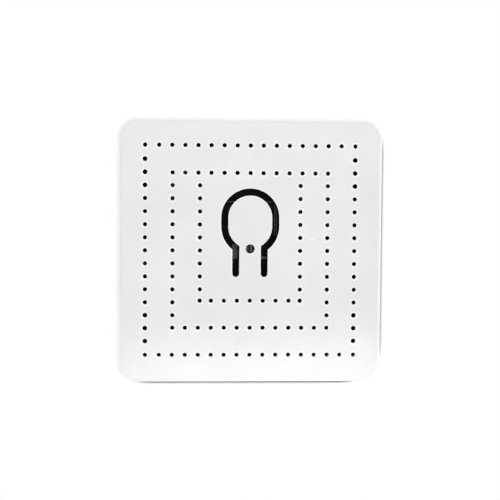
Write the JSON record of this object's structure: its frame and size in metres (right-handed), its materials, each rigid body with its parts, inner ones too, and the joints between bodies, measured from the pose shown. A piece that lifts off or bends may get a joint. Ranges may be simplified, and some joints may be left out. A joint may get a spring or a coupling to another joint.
{
  "type": "smart relay module",
  "caption": "Square in-wall wireless switching module with a vented button face, a keyhole push tongue, a light hole and a row of screw terminals.",
  "frame": {"origin": "centre of the rear face, on the surface that the module lies on", "axes": "+Z from the rear face to the button face, +Y from the terminal side to the bulb end of the tongue, +X to the right of someone who looks at the button face"},
  "size_m": [0.0392, 0.0392, 0.018],
  "materials": {
    "case_plastic": "fine moulded texture, semi-matt white polycarbonate blend",
    "block_plastic": "plain moulded polyamide",
    "brass": "stamped, bright",
    "steel": "zinc-plated",
    "board_laminate": "glass-epoxy laminate with black solder mask",
    "relay_plastic": "moulded polyester",
    "inner_plastic": "moulded polyester, black",
    "enamelled_wire": "enamelled copper winding",
    "soft_iron": "nickel-plated iron",
    "ferrite": "sintered ferrite, dark grey",
    "tinned_metal": "tinned copper and tinplate",
    "can_sleeve": "shrink sleeve over an aluminium can",
    "aluminium_can": "drawn can",
    "rubber_seal": "moulded seal",
    "epoxy_coat": "dipped epoxy coating",
    "resistor_coat": "cement coating",
    "chip_epoxy": "moulded epoxy",
    "ceramic_part": "sintered ceramic",
    "led_resin": "clear to milky resin"
  },
  "bodies": {
    "housing": {"front_cover": "case_plastic", "rear_shell": "case_plastic", "terminal_block": "block_plastic", "terminal_contacts": "brass", "relay_case": "relay_plastic", "relay_base": "inner_plastic", "relay_bobbin": "inner_plastic", "relay_winding": "enamelled_wire", "relay_core": "soft_iron", "relay_yoke": "soft_iron", "relay_fixed_contact": "brass", "relay_pins": "tinned_metal", "main_board": "board_laminate", "switch_base": "inner_plastic", "switch_sheet": "tinned_metal", "switch_dome": "steel", "switch_tabs": "tinned_metal", "status_led_base": "chip_epoxy", "status_led_lens": "led_resin", "wifi_board": "board_laminate", "wifi_shield": "tinned_metal", "wifi_antenna": "brass", "input_capacitor": "can_sleeve", "input_capacitor_seal": "rubber_seal", "output_capacitor": "aluminium_can", "output_capacitor_base": "inner_plastic", "choke_core": "ferrite", "choke_winding": "enamelled_wire", "varistor": "epoxy_coat", "fuse_resistor": "resistor_coat", "component_leads": "tinned_metal", "bridge_rectifier": "chip_epoxy", "regulator_chip": "chip_epoxy", "chip_leads": "tinned_metal", "chip_parts": "ceramic_part"},
    "button": {"button_tongue": "case_plastic"},
    "key_plunger": {"switch_plunger": "inner_plastic"},
    "armature": {"relay_armature": "soft_iron", "relay_blade": "brass", "relay_moving_contact": "tinned_metal"},
    "screw_1": {"terminal_screw_1": "steel"},
    "cage_1": {"terminal_cage_1": "steel"},
    "screw_2": {"terminal_screw_2": "steel"},
    "cage_2": {"terminal_cage_2": "steel"},
    "screw_3": {"terminal_screw_3": "steel"},
    "cage_3": {"terminal_cage_3": "steel"},
    "screw_4": {"terminal_screw_4": "steel"},
    "cage_4": {"terminal_cage_4": "steel"},
    "screw_5": {"terminal_screw_5": "steel"},
    "cage_5": {"terminal_cage_5": "steel"},
    "screw_6": {"terminal_screw_6": "steel"},
    "cage_6": {"terminal_cage_6": "steel"}
  },
  "joints": [
    {"name": "button_press", "type": "hinge", "parent": "housing", "child": "button", "pos_m": [0, -0.00343, 0.0175], "axis": [-1, 0, 0], "range_deg": [0, 1.87], "stiffness_Nm_per_rad": 0.2},
    {"name": "key_travel", "type": "slide", "parent": "housing", "child": "key_plunger", "axis": [0, 0, -1], "range_m": [0, 0.000249], "deforming": ["switch_dome"]},
    {"name": "armature_swing", "type": "hinge", "parent": "housing", "child": "armature", "pos_m": [-0.0092, -0.0076, 0.0072], "axis": [0, 0, -1], "range_deg": [0, 4], "stiffness_Nm_per_rad": 0.02, "springref_deg": -2.86},
    {"name": "screw_turn_1", "type": "hinge", "parent": "housing", "child": "screw_1", "pos_m": [-0.013, -0.0143, 0.006], "axis": [0, 0, 1], "range_deg": [0, 1761]},
    {"name": "cage_rise_1", "type": "slide", "parent": "housing", "child": "cage_1", "axis": [0, 0, -1], "range_m": [0, 0.0022]},
    {"name": "screw_turn_2", "type": "hinge", "parent": "housing", "child": "screw_2", "pos_m": [-0.0078, -0.0143, 0.006], "axis": [0, 0, 1], "range_deg": [0, 1761]},
    {"name": "cage_rise_2", "type": "slide", "parent": "housing", "child": "cage_2", "axis": [0, 0, -1], "range_m": [0, 0.0022]},
    {"name": "screw_turn_3", "type": "hinge", "parent": "housing", "child": "screw_3", "pos_m": [-0.0026, -0.0143, 0.006], "axis": [0, 0, 1], "range_deg": [0, 1761]},
    {"name": "cage_rise_3", "type": "slide", "parent": "housing", "child": "cage_3", "axis": [0, 0, -1], "range_m": [0, 0.0022]},
    {"name": "screw_turn_4", "type": "hinge", "parent": "housing", "child": "screw_4", "pos_m": [0.0026, -0.0143, 0.006], "axis": [0, 0, 1], "range_deg": [0, 1761]},
    {"name": "cage_rise_4", "type": "slide", "parent": "housing", "child": "cage_4", "axis": [0, 0, -1], "range_m": [0, 0.0022]},
    {"name": "screw_turn_5", "type": "hinge", "parent": "housing", "child": "screw_5", "pos_m": [0.0078, -0.0143, 0.006], "axis": [0, 0, 1], "range_deg": [0, 1761]},
    {"name": "cage_rise_5", "type": "slide", "parent": "housing", "child": "cage_5", "axis": [0, 0, -1], "range_m": [0, 0.0022]},
    {"name": "screw_turn_6", "type": "hinge", "parent": "housing", "child": "screw_6", "pos_m": [0.013, -0.0143, 0.006], "axis": [0, 0, 1], "range_deg": [0, 1761]},
    {"name": "cage_rise_6", "type": "slide", "parent": "housing", "child": "cage_6", "axis": [0, 0, -1], "range_m": [0, 0.0022]}
  ],
  "couplings": [
    {"joint": "button_press", "follows": "key_travel", "rad_per_m": 131.06},
    {"joint": "screw_turn_1", "follows": "cage_rise_1", "rad_per_m": 13963},
    {"joint": "screw_turn_2", "follows": "cage_rise_2", "rad_per_m": 13963},
    {"joint": "screw_turn_3", "follows": "cage_rise_3", "rad_per_m": 13963},
    {"joint": "screw_turn_4", "follows": "cage_rise_4", "rad_per_m": 13963},
    {"joint": "screw_turn_5", "follows": "cage_rise_5", "rad_per_m": 13963},
    {"joint": "screw_turn_6", "follows": "cage_rise_6", "rad_per_m": 13963}
  ]
}
